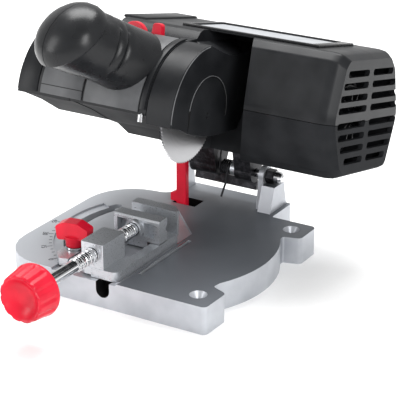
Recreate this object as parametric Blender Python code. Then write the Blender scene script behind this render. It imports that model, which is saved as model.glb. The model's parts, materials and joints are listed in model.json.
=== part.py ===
"""Miniature bench cut-off saw with a belt-driven blade and a swivelling vise.

Everything is drawn in millimetres and written in metres.  X runs along the motor
shaft, Y runs from the front of the base to the rear hinge, Z is up.  The origin is
the boss in the middle of the base's underside.  The saw head is drawn level, with
its hinge axis at the head's own origin, and is then raised about that axis.
"""
import math

import bmesh
import bpy
from mathutils import Matrix, Vector

MM = 0.001
GAP = 0.3

# Base casting
BASE_TOP = 14.0
BASE_LEFT = -60.6
BASE_RIGHT = 60.0
BASE_FRONT = -64.0
BASE_REAR = 65.0
LOBE_REAR = 44.0
REAR_BLOCK = (-26.2, 34.5)
TABLE_CENTRE = (-3.0, -8.0)
TABLE_RADIUS = 62.0
RECESS_FLOOR = 13.0
POCKET_TOP = 9.5
EAR_HOLES = ((48.8, -53.3), (50.4, 34.9))
KERF_X = 13.9
KERF_Y = (-48.4, -3.0)
STOP_OPENING = (-20.0, -6.5, 35.0, 44.5)

# Vise
PIVOT = (2.0, -6.0)
SCALE_RADIUS = 56.0
CLAMP_RADIUS = 48.5
CLAMP_ANGLE = 236.5
VISE_LEFT = -17.5
VISE_RIGHT = 9.2
VISE_FRONT = -61.3
BED_BOTTOM = RECESS_FLOOR + GAP
BED_TOP = 18.0
JAW_TOP = 30.0
FIXED_JAW_FACE = -7.6
SLIDING_JAW_FRONT = -23.4
SLIDING_JAW_BACK = -16.0
SCREW_X = -4.7
SCREW_Z = 24.5
WHEEL_BORE_END = -110.5

# Rear hinge and the raised head
HINGE_Y = 56.0
HINGE_Z = 31.0
HEAD_RISE = math.radians(13.0)
PIN_RADIUS = 2.0

# Saw head, measured from its hinge axis: u runs back, w runs up
ARBOR = (-70.3, 35.9)
MOTOR = (-27.0, 42.0)
FRONT_RADIUS = 34.0
HEAD_LEFT = -62.0
COVER_SEAM = -34.0
HEAD_RIGHT = 88.0
GUARD_LEFT = 11.0
GUARD_RIGHT = 24.5
SHELL = 2.4
DECK = 74.5
SPLIT_LEFT = 34.8
SPLIT_MOTOR = 41.5
CASING_SCREWS = {"casing_screw_right": (74.0, -46.0), "casing_screw_rear": (74.0, -8.0),
                 "casing_screw_middle": (32.0, -8.0)}
BLADE_RADIUS = 25.0
BLADE_X = 13.9
BLADE_THICK = 1.0
BELT_X = -52.0
ARBOR_PULLEY_RADIUS = 6.2
MOTOR_PULLEY_RADIUS = 12.4

# Grip
GRIP_ROOT = Vector((-8.0, -95.0, 58.3))
GRIP_AXIS = Vector((-0.366, -0.880, 0.313)).normalized()
GRIP_RADIUS = 16.0
KNOB_CENTRE = GRIP_ROOT + 30.5 * GRIP_AXIS + Vector((-2.6, 0.0, -0.4))
KNOB_AXIS = Vector((-0.352, -0.870, 0.885)).normalized()
KNOB_RADIUS = 18.8
KNOB_HEIGHT = 13.4

MATERIALS = {
    "cast_aluminium": ((0.42, 0.43, 0.45), 0.42, 0.9),
    "bright_aluminium": ((0.62, 0.63, 0.64), 0.33, 0.95),
    "chrome_steel": ((0.75, 0.76, 0.78), 0.12, 1.0),
    "dark_steel": ((0.05, 0.05, 0.055), 0.45, 0.9),
    "blade_steel": ((0.66, 0.66, 0.67), 0.28, 1.0),
    "black_plastic": ((0.018, 0.018, 0.02), 0.38, 0.0),
    "gloss_black_plastic": ((0.012, 0.012, 0.013), 0.2, 0.0),
    "red_plastic": ((0.72, 0.012, 0.02), 0.32, 0.0),
    "label_film": ((0.72, 0.72, 0.72), 0.4, 0.0),
    "belt_rubber": ((0.02, 0.02, 0.02), 0.75, 0.0),
    "copper": ((0.75, 0.32, 0.16), 0.35, 1.0),
    "brass": ((0.72, 0.55, 0.22), 0.3, 1.0),
    "carbon": ((0.03, 0.03, 0.03), 0.7, 0.0),
}


def clear_scene():
    for item in list(bpy.data.objects):
        bpy.data.objects.remove(item, do_unlink=True)


def get_material(name):
    found = bpy.data.materials.get(name)
    if found:
        return found
    colour, rough, metallic = MATERIALS[name]
    made = bpy.data.materials.new(name)
    made.use_nodes = True
    shader = made.node_tree.nodes["Principled BSDF"]
    shader.inputs["Base Color"].default_value = (*colour, 1.0)
    shader.inputs["Roughness"].default_value = rough
    shader.inputs["Metallic"].default_value = metallic
    return made


def polar(centre, radius, degrees):
    angle = math.radians(degrees)
    return (centre[0] + radius * math.cos(angle), centre[1] + radius * math.sin(angle))


def arc(centre, radius, start, stop, steps):
    span = stop - start
    return [polar(centre, radius, start + span * i / steps) for i in range(steps + 1)]


def rounded(corners, steps=4):
    """Fillet each (x, y, radius) corner of a closed outline; radius 0 stays sharp."""
    outline = []
    count = len(corners)
    for i, (x, y, radius) in enumerate(corners):
        here = Vector((x, y))
        if radius <= 0.0:
            outline.append((x, y))
            continue
        back = (Vector(corners[i - 1][:2]) - here).normalized()
        ahead = (Vector(corners[(i + 1) % count][:2]) - here).normalized()
        half = back.angle(ahead) / 2.0
        centre = here + (back + ahead).normalized() * (radius / math.sin(half))
        first = here + back * (radius / math.tan(half)) - centre
        last = here + ahead * (radius / math.tan(half)) - centre
        start = math.atan2(first.y, first.x)
        turn = math.atan2(last.y, last.x) - start
        turn = (turn + math.pi) % (2.0 * math.pi) - math.pi
        for k in range(steps + 1):
            angle = start + turn * k / steps
            outline.append((centre.x + radius * math.cos(angle),
                            centre.y + radius * math.sin(angle)))
    return outline


def inset(points, distance):
    """Move every edge of a closed outline inwards by distance."""
    count = len(points)
    area = sum(points[i - 1][0] * points[i][1] - points[i][0] * points[i - 1][1]
               for i in range(count))
    side = 1.0 if area > 0.0 else -1.0
    moved = []
    for i in range(count):
        here = Vector(points[i])
        before = (here - Vector(points[i - 1])).normalized()
        after = (Vector(points[(i + 1) % count]) - here).normalized()
        normal_a = Vector((-before.y, before.x)) * side
        normal_b = Vector((-after.y, after.x)) * side
        middle = (normal_a + normal_b).normalized()
        moved.append(tuple(here + middle * (distance / max(middle.dot(normal_a), 0.35))))
    return moved


def to_object(name, mesh_builder):
    mesh = bpy.data.meshes.new(name)
    bmesh.ops.recalc_face_normals(mesh_builder, faces=mesh_builder.faces)
    mesh_builder.to_mesh(mesh)
    mesh_builder.free()
    made = bpy.data.objects.new(name, mesh)
    bpy.context.scene.collection.objects.link(made)
    return made


def place_point(axis, along, pair):
    a, b = pair
    if axis == "X":
        return Vector((along, a, b))
    if axis == "Y":
        return Vector((a, along, b))
    return Vector((a, b, along))


def prism(name, outline, axis, start, stop):
    """Extrude an outline; its pairs are (y, z), (x, z) or (x, y) for axis X, Y or Z."""
    build = bmesh.new()
    rings = []
    for along in (start, stop):
        rings.append([build.verts.new(place_point(axis, along, pair)) for pair in outline])
    build.faces.new(rings[0])
    build.faces.new(rings[1])
    count = len(outline)
    for i in range(count):
        j = (i + 1) % count
        build.faces.new((rings[0][i], rings[0][j], rings[1][j], rings[1][i]))
    return to_object(name, build)


def box(name, x0, x1, y0, y1, z0, z1):
    return prism(name, [(x0, y0), (x1, y0), (x1, y1), (x0, y1)], "Z", z0, z1)


def frame_along(direction):
    """Rotation whose local Z points along direction."""
    return Vector((0.0, 0.0, 1.0)).rotation_difference(Vector(direction)).to_matrix()


def loft(name, rings, closed=False):
    """Skin a list of equal rings of points; the ends are capped unless it is closed."""
    build = bmesh.new()
    loops = [[build.verts.new(point) for point in ring] for ring in rings]
    count = len(loops[0])
    pairs = list(zip(loops, loops[1:]))
    if closed:
        pairs.append((loops[-1], loops[0]))
    else:
        build.faces.new(loops[0])
        build.faces.new(loops[-1])
    for low, high in pairs:
        for i in range(count):
            j = (i + 1) % count
            build.faces.new((low[i], low[j], high[j], high[i]))
    return to_object(name, build)


def turned(name, origin, direction, profile, segments=24, bore=None):
    """Turn a profile of (along, radius) pairs; bore makes it a sleeve."""
    turn = frame_along(direction)
    start = Vector(origin)
    stations = list(profile)
    if bore:
        stations += [(profile[-1][0], bore), (profile[0][0], bore)]
    rings = []
    for along, radius in stations:
        rings.append([start + turn @ Vector((radius * math.cos(2 * math.pi * i / segments),
                                             radius * math.sin(2 * math.pi * i / segments),
                                             along)) for i in range(segments)])
    return loft(name, rings, closed=bool(bore))


def cylinder(name, origin, direction, radius, length, segments=24, bore=None):
    return turned(name, origin, direction, [(0.0, radius), (length, radius)], segments, bore)


def combine(target, tool, operation):
    """Boolean the tool into the target and drop the tool."""
    step = target.modifiers.new("Combine", "BOOLEAN")
    step.operation = operation
    step.object = tool
    step.solver = "EXACT"
    depsgraph = bpy.context.evaluated_depsgraph_get()
    depsgraph.update()
    result = bpy.data.meshes.new_from_object(target.evaluated_get(depsgraph))
    target.modifiers.clear()
    target.data = result
    bpy.data.objects.remove(tool, do_unlink=True)
    return target


def cut(target, *tools):
    for tool in tools:
        combine(target, tool, "DIFFERENCE")
    return target


def join(target, *tools):
    for tool in tools:
        combine(target, tool, "UNION")
    return target


def keep(target, tool):
    return combine(target, tool, "INTERSECT")


def complete(item, name, material_name, placement=None, pivot=(0.0, 0.0, 0.0)):
    """Place a part, put its origin on its pivot, scale it to metres and finish it."""
    mesh = item.data
    if placement is not None:
        mesh.transform(placement)
    anchor = Vector(pivot) * MM
    mesh.transform(Matrix.Translation(-anchor) @ Matrix.Scale(MM, 4))
    build = bmesh.new()
    build.from_mesh(mesh)
    bmesh.ops.remove_doubles(build, verts=build.verts, dist=0.00001)
    bmesh.ops.dissolve_degenerate(build, dist=0.000002, edges=build.edges)
    bmesh.ops.triangulate(build, faces=build.faces)
    build.to_mesh(mesh)
    build.free()
    mesh.shade_smooth()
    mesh.set_sharp_from_angle(angle=math.radians(32.0))
    mesh.materials.clear()
    mesh.materials.append(get_material(material_name))
    item.name = name
    mesh.name = name
    item.location = anchor
    return item


HEAD_PLACE = (Matrix.Translation((0.0, HINGE_Y, HINGE_Z))
              @ Matrix.Rotation(-HEAD_RISE, 4, "X"))
HINGE_POINT = (0.0, HINGE_Y, HINGE_Z)


def head_point(x, u, w):
    return tuple(HEAD_PLACE @ Vector((x, u, w)))


def complete_head(item, name, material_name, pivot=HINGE_POINT):
    return complete(item, name, material_name, HEAD_PLACE, pivot)


# ---------------------------------------------------------------- base and hinge

def base_outline():
    """The plan of the base, anticlockwise from the front right corner."""
    round_table = [(x, y, 0.0) for x, y in arc(TABLE_CENTRE, TABLE_RADIUS, -29.0, 29.0, 12)]
    front_ear = [(BASE_RIGHT - 1.2, BASE_FRONT, 2.5), (BASE_RIGHT - 0.8, -46.0, 3.0),
                 (50.6, -42.6, 1.5)]
    rear_ear = [(51.2, 24.6, 1.2), (BASE_RIGHT, 27.0, 2.5), (BASE_RIGHT, LOBE_REAR, 3.0)]
    rear = [(REAR_BLOCK[1], LOBE_REAR, 1.0), (REAR_BLOCK[1], BASE_REAR, 1.5),
            (REAR_BLOCK[0], BASE_REAR, 1.5), (REAR_BLOCK[0] - 0.8, LOBE_REAR, 7.0)]
    left = [(BASE_LEFT, LOBE_REAR - 2.0, 26.0), (BASE_LEFT, BASE_FRONT, 25.0)]
    return rounded(front_ear + round_table + rear_ear + rear + left, 6)


def recess_outline():
    rear = arc(PIVOT, 36.0, 112.0, 158.0, 6)
    scale = arc(PIVOT, SCALE_RADIUS, 158.0, 240.0, 16)
    return ([(10.4, BASE_FRONT - 3.0), (10.4, 4.6)] + rear + scale
            + [(scale[-1][0] - 0.6, BASE_FRONT - 3.0)])


def clamp_slot():
    half = 2.6
    outer = arc(PIVOT, CLAMP_RADIUS + half, 154.0, 241.0, 16)
    inner = arc(PIVOT, CLAMP_RADIUS - half, 241.0, 154.0, 16)
    far_cap = arc(polar(PIVOT, CLAMP_RADIUS, 241.0), half, 241.0, 421.0, 6)[1:-1]
    near_cap = arc(polar(PIVOT, CLAMP_RADIUS, 154.0), half, 334.0, 514.0, 6)[1:-1]
    return outer + far_cap + inner + near_cap


def hinge_post(name, x0, x1, foot_y, top_y, top_z):
    outline = [(foot_y[0], BASE_TOP - 1.5), (foot_y[1], BASE_TOP - 1.5),
               (top_y[1], top_z), (top_y[0], top_z)]
    return prism(name, outline, "X", x0, x1)


def hinge_eye(name, x0, x1):
    crown = arc((HINGE_Y, HINGE_Z), 4.8, -20.0, 200.0, 14)
    outline = crown + [(HINGE_Y - 7.0, BASE_TOP - 1.5), (HINGE_Y + 7.0, BASE_TOP - 1.5)]
    return prism(name, outline, "X", x0, x1)


def build_base():
    base = prism("base", base_outline(), "Z", 0.0, BASE_TOP)
    left_pocket = rounded([(-8.5, -58.5, 3.0), (-8.5, 31.0, 3.0), (-56.5, 31.0, 18.0),
                           (-56.5, -58.5, 21.0)])
    front_pocket = rounded([(9.0, -58.5, 3.0), (9.0, -12.0, 3.0), (41.0, -12.0, 3.0),
                            (41.0, -58.5, 3.0)])
    rear_pocket = rounded([(10.0, -8.0, 3.0), (10.0, 39.0, 3.0), (42.0, 39.0, 3.0),
                           (42.0, -8.0, 3.0)])
    for pocket in (left_pocket, front_pocket, rear_pocket):
        cut(base, prism("pocket", pocket, "Z", -1.0, POCKET_TOP))
    cut(base, prism("recess", recess_outline(), "Z", RECESS_FLOOR, BASE_TOP + 2.0))
    cut(base, prism("clamp_slot", clamp_slot(), "Z", 5.0, BASE_TOP + 2.0))
    cut(base, box("kerf", KERF_X - 0.9, KERF_X + 0.9, KERF_Y[0], KERF_Y[1],
                  4.0, BASE_TOP + 1.0))
    x0, x1, y0, y1 = STOP_OPENING
    cut(base, box("stop_opening", x0, x1, y0, y1, -1.0, BASE_TOP + 1.0))
    for x, y in EAR_HOLES:
        sink = [(-1.0, 2.2), (BASE_TOP - 3.0, 2.2), (BASE_TOP + 0.5, 4.6)]
        cut(base, turned("ear_hole", (x, y, 0.0), (0, 0, 1), sink, 24))
    cut(base, cylinder("pivot_hole", (*PIVOT, -1.0), (0, 0, 1), 3.3, 20.0, 24))
    cut(base, cylinder("pivot_head_bore", (*PIVOT, -1.0), (0, 0, 1), 5.0, 8.5, 24))
    notch = arc((2.8, 9.0), 3.7, 180.0, 360.0, 10) + [(6.5, 20.0), (-0.9, 20.0)]
    cut(base, prism("front_notch", notch, "Y", BASE_FRONT - 2.0, BASE_FRONT + 8.0))
    join(base, hinge_post("right_post", 24.6, 32.0, (45.6, 64.4), (50.5, 60.8), 27.1),
         hinge_eye("right_eye", 22.0, 24.9),
         hinge_eye("left_eye", REAR_BLOCK[0] + 0.4, -22.5))
    cut(base, cylinder("hinge_bore", (-40.0, HINGE_Y, HINGE_Z), (1, 0, 0),
                       PIN_RADIUS + GAP, 80.0, 24))
    return complete(base, "base_casting", "cast_aluminium")


def build_hinge_pin():
    profile = [(0.0, 3.2), (1.0, 3.9), (2.2, 3.9), (2.2, PIN_RADIUS), (58.6, PIN_RADIUS)]
    dome = [(58.6, 3.3), (60.8, 3.1), (62.2, 2.2), (62.8, 0.8)]
    pin = turned("pin", (REAR_BLOCK[0] - 2.3, HINGE_Y, HINGE_Z), (1, 0, 0),
                 profile + dome, 28)
    return complete(pin, "hinge_pin", "chrome_steel")


def build_hinge_nut():
    outline = [polar((HINGE_Y, HINGE_Z), 4.0, 60.0 * i) for i in range(6)]
    nut = prism("nut", outline, "X", 25.2, 29.6)
    cut(nut, cylinder("nut_bore", (20.0, HINGE_Y, HINGE_Z), (1, 0, 0),
                      PIN_RADIUS + GAP, 20.0, 24))
    return complete(nut, "hinge_nut", "dark_steel")


def build_travel_stop():
    x0 = STOP_OPENING[0] + 1.7
    x1 = x0 + 5.8
    bar = box("bar", x0, x1, 36.0, 39.4, 1.5, 39.2)
    foot = rounded([(x0 - 3.6, BASE_TOP + GAP, 0.6), (x0 + 1.0, BASE_TOP + GAP, 0.0),
                    (x0 + 1.0, 20.5, 0.0), (x0 - 0.6, 20.2, 0.0), (x0 - 3.6, 18.6, 0.8)], 3)
    join(bar, prism("foot", foot, "Y", 36.0, 39.4))
    return complete(bar, "travel_stop", "red_plastic")


# ---------------------------------------------------------------- vise

def clamp_position():
    return polar(PIVOT, CLAMP_RADIUS, CLAMP_ANGLE)


def build_vise_bed():
    plate = rounded([(VISE_RIGHT, VISE_FRONT, 4.0), (VISE_RIGHT, -7.2, 0.8),
                     (2.6, -0.9, 0.8), (VISE_LEFT, -0.9, 2.0), (VISE_LEFT, -20.0, 1.0),
                     (VISE_LEFT, -38.0, 1.0), (-12.4, VISE_FRONT + 8.0, 1.0),
                     (-12.4, VISE_FRONT, 4.0)])
    bed = prism("bed", plate, "Z", BED_BOTTOM, BED_TOP)
    cx, cy = clamp_position()
    arm = rounded([(cx + 4.6, cy - 12.5, 1.0), (cx + 4.6, cy + 6.0, 2.0),
                   (VISE_LEFT + 3.0, cy + 6.0, 0.0), (VISE_LEFT + 3.0, cy + 16.0, 0.0),
                   (cx + 1.0, cy + 16.0, 3.0), (cx - 5.0, cy + 10.0, 3.0),
                   (cx - 5.0, cy - 8.0, 1.5), (cx, cy - 13.8, 0.8)])
    cut(bed, box("swing_relief", -14.0, -5.5, VISE_FRONT - 1.0, VISE_FRONT + 6.0,
                 0.0, BASE_TOP + GAP))
    join(bed, prism("arm", arm, "Z", BASE_TOP + GAP, BED_TOP))
    cut(bed, box("channel", -10.9, 1.6, -42.0, FIXED_JAW_FACE - 0.4, 0.0, 40.0))
    chamfer = [(1.4, BED_TOP + 0.2), (4.2, BED_TOP + 0.2), (1.4, BED_TOP - 2.0)]
    cut(bed, prism("channel_bevel", chamfer, "Y", -42.0, FIXED_JAW_FACE - 0.4))
    block = rounded([(-10.9, VISE_FRONT + 0.2, 0.6), (1.5, VISE_FRONT + 0.2, 0.6),
                     (1.5, -42.2, 0.6), (-10.9, -42.2, 0.6)], 3)
    join(bed, prism("nut_block", block, "Z", BED_TOP - 1.0, 30.5))
    jaw = [(VISE_LEFT + 0.2, FIXED_JAW_FACE), (VISE_RIGHT, FIXED_JAW_FACE),
           (VISE_RIGHT - 0.2, -5.6), (4.6, -1.4), (VISE_LEFT + 0.2, -1.4)]
    join(bed, prism("fixed_jaw", jaw, "Z", BED_TOP - 1.0, JAW_TOP))
    cut(bed, cylinder("screw_bore", (SCREW_X, -70.0, SCREW_Z), (0, 1, 0), 3.8, 40.0, 24))
    cut(bed, cylinder("pivot_bore", (*PIVOT, 10.0), (0, 0, 1), 3.3, 7.8, 24))
    cut(bed, cylinder("stud_bore", (cx, cy, 10.0), (0, 0, 1), 2.3, 12.0, 24))
    return complete(bed, "vise_bed", "bright_aluminium", pivot=(*PIVOT, BED_BOTTOM))


def build_sliding_jaw():
    y0, y1 = SLIDING_JAW_FRONT, SLIDING_JAW_BACK
    middle = (BED_TOP + JAW_TOP) / 2.0 + 0.6
    side = [(y0, BED_TOP + GAP), (y1, BED_TOP + GAP), (y1, middle - 2.2),
            (y1 - 1.7, middle), (y1, middle + 2.2), (y1, JAW_TOP), (y0 + 0.8, JAW_TOP),
            (y0, JAW_TOP - 0.8)]
    jaw = prism("jaw", side, "X", VISE_LEFT, VISE_RIGHT - 0.4)
    for x0, x1 in ((VISE_LEFT + 2.0, SCREW_X - 4.8), (SCREW_X + 4.8, VISE_RIGHT - 3.4)):
        cut(jaw, box("window", x0, x1, y0 - 1.0, y1 - 3.4, BED_TOP + 2.6, JAW_TOP - 2.0))
    join(jaw, cylinder("boss", (SCREW_X, y0 - 2.6, SCREW_Z), (0, 1, 0), 4.7, 4.6, 32),
         box("tongue", -10.4, 1.1, y0 + 1.0, y1 - 1.0, 14.2, BED_TOP + 1.0))
    cut(jaw, cylinder("screw_seat", (SCREW_X, y0 - 5.0, SCREW_Z), (0, 1, 0), 3.6, 9.4, 24))
    return complete(jaw, "sliding_jaw", "bright_aluminium",
                    pivot=(SCREW_X, y0, SCREW_Z))


def build_vise_screw():
    end = SLIDING_JAW_FRONT + 3.8
    profile = [(WHEEL_BORE_END + GAP, 2.4), (-103.7, 2.4), (-103.7, 3.0), (-76.0, 3.0), (-75.0, 3.4),
               (end - 0.8, 3.3), (end, 2.7)]
    screw = turned("screw", (SCREW_X, 0.0, SCREW_Z), (0, 1, 0), profile, 32)
    return complete(screw, "vise_screw", "chrome_steel",
                    pivot=(SCREW_X, SLIDING_JAW_FRONT, SCREW_Z))


def build_handwheel():
    stations = [(-116.6, 9.4, 0.0), (-117.4, 10.6, 0.4), (-116.4, 11.5, 0.8),
                (-107.0, 12.6, 0.8), (-105.6, 13.0, 0.1), (-104.4, 12.8, 0.0),
                (-104.0, 12.0, 0.0), (-104.0, 5.2, 0.0)]
    dish = [(-112.6, 2.8, 0.0), (-113.6, 6.2, 0.0), (-115.2, 8.4, 0.0)]
    rings = []
    count = 48
    for y, radius, flute in dish + stations:
        ring = []
        for i in range(count):
            angle = 2.0 * math.pi * i / count
            wave = max(0.0, math.cos(12.0 * angle)) ** 2
            reach = radius - flute * wave
            ring.append(Vector((SCREW_X + reach * math.cos(angle), y,
                                SCREW_Z + reach * math.sin(angle))))
        rings.append(ring)
    wheel = loft("wheel", rings)
    cut(wheel, cylinder("wheel_bore", (SCREW_X, WHEEL_BORE_END, SCREW_Z), (0, 1, 0), 2.7, 12.0, 24))
    return complete(wheel, "vise_handwheel", "red_plastic",
                    pivot=(SCREW_X, -105.0, SCREW_Z))


def build_pivot_bolt():
    profile = [(2.0, 4.5), (6.6, 4.5), (6.6, 3.0), (17.3, 3.0)]
    bolt = turned("bolt", (*PIVOT, 0.0), (0, 0, 1), profile, 28)
    return complete(bolt, "vise_pivot_bolt", "dark_steel", pivot=(*PIVOT, 0.0))


def build_clamp_stud():
    cx, cy = clamp_position()
    profile = [(5.0, 4.4), (8.6, 4.4), (8.6, 2.0), (24.0, 2.0)]
    stud = turned("stud", (cx, cy, 0.0), (0, 0, 1), profile, 24)
    return complete(stud, "clamp_stud", "dark_steel", pivot=(cx, cy, 0.0))


def build_clamp_washer():
    washer = cylinder("washer", (*clamp_position(), BED_TOP + GAP), (0, 0, 1),
                      4.4, 0.9, 28, 2.3)
    return complete(washer, "clamp_washer", "chrome_steel")


def build_clamp_knob():
    cx, cy = clamp_position()
    low = BED_TOP + GAP + 0.9 + GAP
    stem = turned("stem", (cx, cy, 0.0), (0, 0, 1),
                  [(low, 4.4), (low + 4.0, 4.8), (low + 5.2, 5.2)], 24)
    wing = rounded([(-8.0, low + 3.0, 1.4), (8.0, low + 4.2, 1.2), (8.6, low + 9.6, 1.6),
                    (3.0, low + 12.4, 3.0), (-4.0, low + 12.4, 3.0),
                    (-8.8, low + 10.0, 1.6)], 4)
    bar = prism("wing", wing, "Y", -3.4, 3.4)
    turn = Matrix.Translation((cx, cy, 0.0)) @ Matrix.Rotation(math.radians(8.0), 4, "Z")
    bar.data.transform(turn)
    join(stem, bar)
    cut(stem, cylinder("knob_bore", (cx, cy, low - 1.0), (0, 0, 1), 2.3, 6.5, 24))
    return complete(stem, "clamp_knob", "red_plastic", pivot=(cx, cy, low))


# ---------------------------------------------------------------- head casings

def front_arc(radius, start, stop, steps=14):
    return arc(ARBOR, radius, start, stop, steps)


def cover_section():
    """Section of the belt cover: round nose, falling rear, a touch proud of its neighbour."""
    nose = [(*point, 0.0) for point in front_arc(FRONT_RADIUS, 181.0, 80.0, 14)]
    return rounded(nose + [(-6.0, 64.0, 8.0), (1.0, 42.0, 10.0), (-6.0, 21.2, 6.0),
                           (-53.0, 21.2, 0.0), (-68.0, 23.9, 0.0), (-84.0, 30.1, 0.0),
                           (-100.5, 34.9, 0.0)], 3)


def middle_section():
    """Section behind the nose up to the raised top deck."""
    return (front_arc(FRONT_RADIUS - 0.3, 180.6, 90.0, 13)
            + [(-64.5, 70.2), (-61.5, 73.4), (-58.5, DECK), (-7.0, DECK), (-1.0, 70.0),
               (10.5, 43.0), (6.0, 20.0), (1.0, 15.0), (-45.0, 15.0), (-56.0, 21.0),
               (-68.0, 24.2), (-84.0, 30.4), (-100.5, 35.3)])


def motor_section():
    """Six-sided barrel section of the motor end."""
    return rounded([(-62.5, 70.5, 3.0), (-58.5, DECK - 0.1, 3.0), (-6.5, DECK - 0.1, 4.0),
                    (0.5, 68.0, 5.0), (11.0, 42.0, 14.0), (3.5, 14.5, 4.0),
                    (-50.0, 14.0, 4.0), (-56.0, 18.0, 5.0), (-69.0, 42.0, 16.0)], 3)


def motor_barrel(offset):
    """The motor end, its last 8 mm rounded in towards the grille."""
    centre_u, centre_w = MOTOR
    outline = inset(motor_section(), offset)
    rings = []
    for x, size in ((26.0, 1.0), (HEAD_RIGHT - 8.0, 1.0), (HEAD_RIGHT - 4.4, 0.984),
                    (HEAD_RIGHT - 2.8, 0.962), (HEAD_RIGHT - offset, 0.9)):
        if x <= HEAD_RIGHT - offset:
            rings.append([Vector((x, centre_u + size * (u - centre_u),
                                  centre_w + size * (w - centre_w))) for u, w in outline])
    return loft("motor", rings)


def head_solid(offset):
    """The whole casing as one solid, shrunk by offset for its hollow."""
    cover = prism("cover", inset(cover_section(), offset), "X",
                  HEAD_LEFT + offset, COVER_SEAM + 2.0 + 0.8 * offset)
    middle = prism("middle", inset(middle_section(), offset), "X",
                   COVER_SEAM + offset, 40.0)
    room = [(-130.0, -30.0), (-38.5 + offset, -30.0), (-38.5 + offset, 26.6),
            (-33.2 + offset, 37.0), (-30.2 + offset, 53.0), (-27.6 + offset, 69.5),
            (-27.6 + offset, 120.0), (-130.0, 120.0)]
    cut(middle, prism("guard_room", room, "X", GUARD_LEFT - GAP - offset, 60.0))
    motor = motor_barrel(offset)
    shift = offset * 1.1
    taper = [(20.0, -95.0), (42.0 + shift, -95.0), (42.0 + shift, -68.0),
             (27.0, -33.0 + shift), (20.0, -33.0 + shift)]
    cut(motor, prism("taper", taper, "Z", -40.0, 140.0))
    return join(middle, cover, motor)


def grille_slots():
    """Eight rows of two vents, each row as long as the six-sided face allows."""
    slots = []
    rows = ((64.9, -56.0, -4.6), (59.2, -59.4, 0.0), (53.5, -61.2, 3.4), (47.9, -61.9, 5.4),
            (40.6, -61.0, 6.0), (34.9, -58.8, 4.8), (29.1, -54.7, 2.4), (23.2, -49.0, -2.0))
    for w, front, back in rows:
        rib = -30.3 - 0.1 * (w - 64.0)
        for near, far in ((front, rib - 2.2), (rib + 2.2, back)):
            outline = rounded([(near, w - 1.6, 1.3), (far, w - 1.6, 1.3),
                               (far, w + 1.6, 1.3), (near, w + 1.6, 1.3)], 2)
            slots.append(prism("slot", outline, "X", HEAD_RIGHT - 6.0, HEAD_RIGHT + 2.0))
    return slots


def casing_hollow():
    """Both casings before they are parted."""
    shell = head_solid(0.0)
    cut(shell, head_solid(SHELL))
    cut(shell, cylinder("arbor_seat", (-5.0, *ARBOR), (1, 0, 0), 8.3, 20.0, 24))
    cut(shell, *grille_slots())
    return shell


def split_tool(name, low, high):
    """A block with the stepped parting face: lower at the nose, higher at the motor."""
    outline = [(HEAD_LEFT - 10.0, low[0]), (GUARD_LEFT + 4.0, low[0]),
               (GUARD_LEFT + 4.0, low[1]), (HEAD_RIGHT + 10.0, low[1]),
               (HEAD_RIGHT + 10.0, high), (HEAD_LEFT - 10.0, high)]
    return prism(name, outline, "Y", -130.0, 40.0)


def build_upper_casing():
    shell = casing_hollow()
    keep(shell, split_tool("above", (SPLIT_LEFT + GAP / 2, SPLIT_MOTOR + GAP / 2), 130.0))
    cut(shell, box("label_seat", -4.9, 70.0, -53.4, -14.6, DECK - 0.9, 80.0))
    cut(shell, box("slider_slot", -11.4, 8.4, -72.5, -68.5, 62.0, 80.0),
        box("trigger_slot", -27.4, -12.6, -73.2, -68.8, 62.0, 80.0))
    inner = turned("grip_opening", GRIP_ROOT - GRIP_AXIS * 12.0, GRIP_AXIS,
                   [(0.0, 11.0), (30.0, 11.0)], 24)
    cut(shell, inner)
    return complete_head(shell, "casing_upper", "black_plastic")


def build_lower_casing():
    shell = casing_hollow()
    for x, u in CASING_SCREWS.values():
        join(shell, cylinder("boss", (x, u, 15.6), (0, 0, 1), 5.4, 4.4, 24))
        cut(shell, cylinder("counterbore", (x, u, 8.0), (0, 0, 1), 3.3, 9.5, 24))
    keep(shell, split_tool("below", (SPLIT_LEFT - GAP / 2, SPLIT_MOTOR - GAP / 2), -40.0))
    return complete_head(shell, "casing_lower", "black_plastic")


def build_label_plate():
    outline = rounded([(-4.5, -53.0, 1.0), (69.6, -53.0, 1.0), (69.6, -15.0, 1.0),
                       (-4.5, -15.0, 1.0)], 3)
    plate = prism("label", outline, "Z", DECK - 0.6, DECK + 0.1)
    return complete_head(plate, "label_plate", "label_film")


def guard_section():
    return (front_arc(33.7, 187.0, 96.0, 16)
            + [(-66.0, 67.0), (-57.0, 64.6), (-49.0, 63.8), (-40.0, 64.8), (-33.0, 67.0),
               (-28.5, 69.5), (-31.0, 53.0), (-34.0, 37.0), (-39.5, 27.0), (-57.0, 25.6),
               (-72.0, 25.6), (-84.0, 27.4), (-94.0, 30.2)])


def guard_hollow():
    return (front_arc(31.3, 196.0, 98.0, 16)
            + [(-65.0, 64.4), (-57.0, 62.2), (-49.0, 61.4), (-40.0, 62.4), (-36.0, 62.0),
               (-35.0, 45.0), (-41.0, 20.0), (-100.0, 20.0)])


def build_guard():
    guard = prism("guard", guard_section(), "X", GUARD_LEFT, GUARD_RIGHT)
    cut(guard, prism("guard_hollow", guard_hollow(), "X", GUARD_LEFT - 1.0,
                     GUARD_RIGHT - 2.2))
    cut(guard, cylinder("bolt_access", (GUARD_RIGHT - 1.1, *ARBOR), (1, 0, 0), 1.6, 4.0, 20))
    return complete_head(guard, "blade_guard", "black_plastic")


# ---------------------------------------------------------------- drive

def arbor_point():
    return head_point(0.0, *ARBOR)


def motor_point():
    return head_point(0.0, *MOTOR)


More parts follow.
